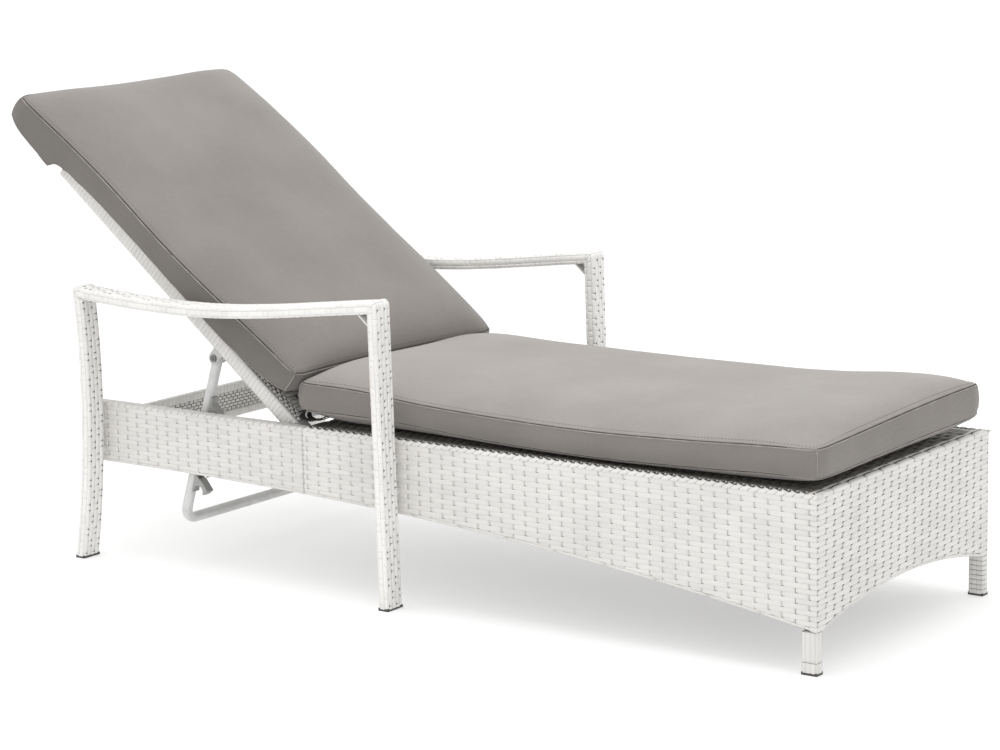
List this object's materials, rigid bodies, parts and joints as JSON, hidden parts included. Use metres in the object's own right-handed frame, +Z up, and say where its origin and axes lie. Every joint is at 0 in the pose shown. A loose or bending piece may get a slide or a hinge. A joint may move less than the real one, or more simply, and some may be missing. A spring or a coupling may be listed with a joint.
{
  "type": "reclining sun lounger",
  "caption": "Reclining garden lounger: woven wicker skin over a metal frame, swept armrests, hinged back held by a notched folding prop, thick seat and back cushions.",
  "frame": {"origin": "on the ground under the middle of the whole lounger, with the back raised as in the model", "axes": "+X towards the foot end, +Z up; +Y is the left-hand side and -Y the right-hand side of a person sitting on it and facing the foot end"},
  "size_m": [1.8094, 0.73, 0.9074],
  "materials": {
    "wicker": "woven flat resin strands, satin white",
    "frame_metal": "light grey powder coat",
    "hook_metal": "bent sheet, dull",
    "steel": "plated fasteners",
    "cap_plastic": "moulded, dull black",
    "cushion_fabric": "plain close weave, taupe grey"
  },
  "bodies": {
    "base": {"right_side_apron": "wicker", "left_side_apron": "wicker", "right_rear_rail": "wicker", "left_rear_rail": "wicker", "right_side_frame_tube": "frame_metal", "left_side_frame_tube": "frame_metal", "right_rear_frame_tube": "frame_metal", "left_rear_frame_tube": "frame_metal", "right_foot_leg": "wicker", "left_foot_leg": "wicker", "right_foot_cap": "cap_plastic", "left_foot_cap": "cap_plastic", "right_arm_front_leg": "wicker", "left_arm_front_leg": "wicker", "right_arm_rear_leg": "wicker", "left_arm_rear_leg": "wicker", "right_arm_rail": "wicker", "left_arm_rail": "wicker", "right_arm_brace": "wicker", "left_arm_brace": "wicker", "right_arm_front_cap": "cap_plastic", "left_arm_front_cap": "cap_plastic", "right_arm_rear_cap": "cap_plastic", "left_arm_rear_cap": "cap_plastic", "right_hinge_plate": "frame_metal", "left_hinge_plate": "frame_metal", "right_catch_bracket": "frame_metal", "left_catch_bracket": "frame_metal", "foot_apron": "wicker", "seat_deck": "wicker", "seat_cross_tube_1": "frame_metal", "seat_cross_tube_2": "frame_metal", "seat_cross_tube_3": "frame_metal", "seat_rear_cross_tube": "frame_metal", "head_upper_tube": "wicker", "head_lower_tube": "wicker", "head_woven_band": "wicker", "armrest_bolts": "steel", "armrest_spacers": "steel", "hinge_washers": "steel", "hinge_nuts": "steel", "plate_screws": "steel", "seat_cushion": "cushion_fabric"},
    "backrest": {"right_back_side_tube": "frame_metal", "left_back_side_tube": "frame_metal", "back_bottom_tube": "frame_metal", "back_mid_tube": "frame_metal", "back_top_tube": "frame_metal", "back_deck": "wicker", "right_prop_bracket": "frame_metal", "left_prop_bracket": "frame_metal", "prop_bolts": "steel", "prop_nuts": "steel", "back_cushion": "cushion_fabric"},
    "prop": {"prop_bail": "frame_metal", "right_hook_plate": "hook_metal", "left_hook_plate": "hook_metal"}
  },
  "joints": [
    {"name": "recline", "type": "hinge", "parent": "base", "child": "backrest", "pos_m": [-0.2253, 0, 0.288], "axis": [0, 1, 0], "range_deg": [-39, 20]},
    {"name": "prop_swing", "type": "hinge", "parent": "backrest", "child": "prop", "pos_m": [-0.42574, 0, 0.40913], "axis": [0, 1, 0], "range_deg": [-36.5, 70.5]}
  ],
  "couplings": [
    {"joint": "prop_swing", "follows": "recline", "ratio": -1.8}
  ]
}
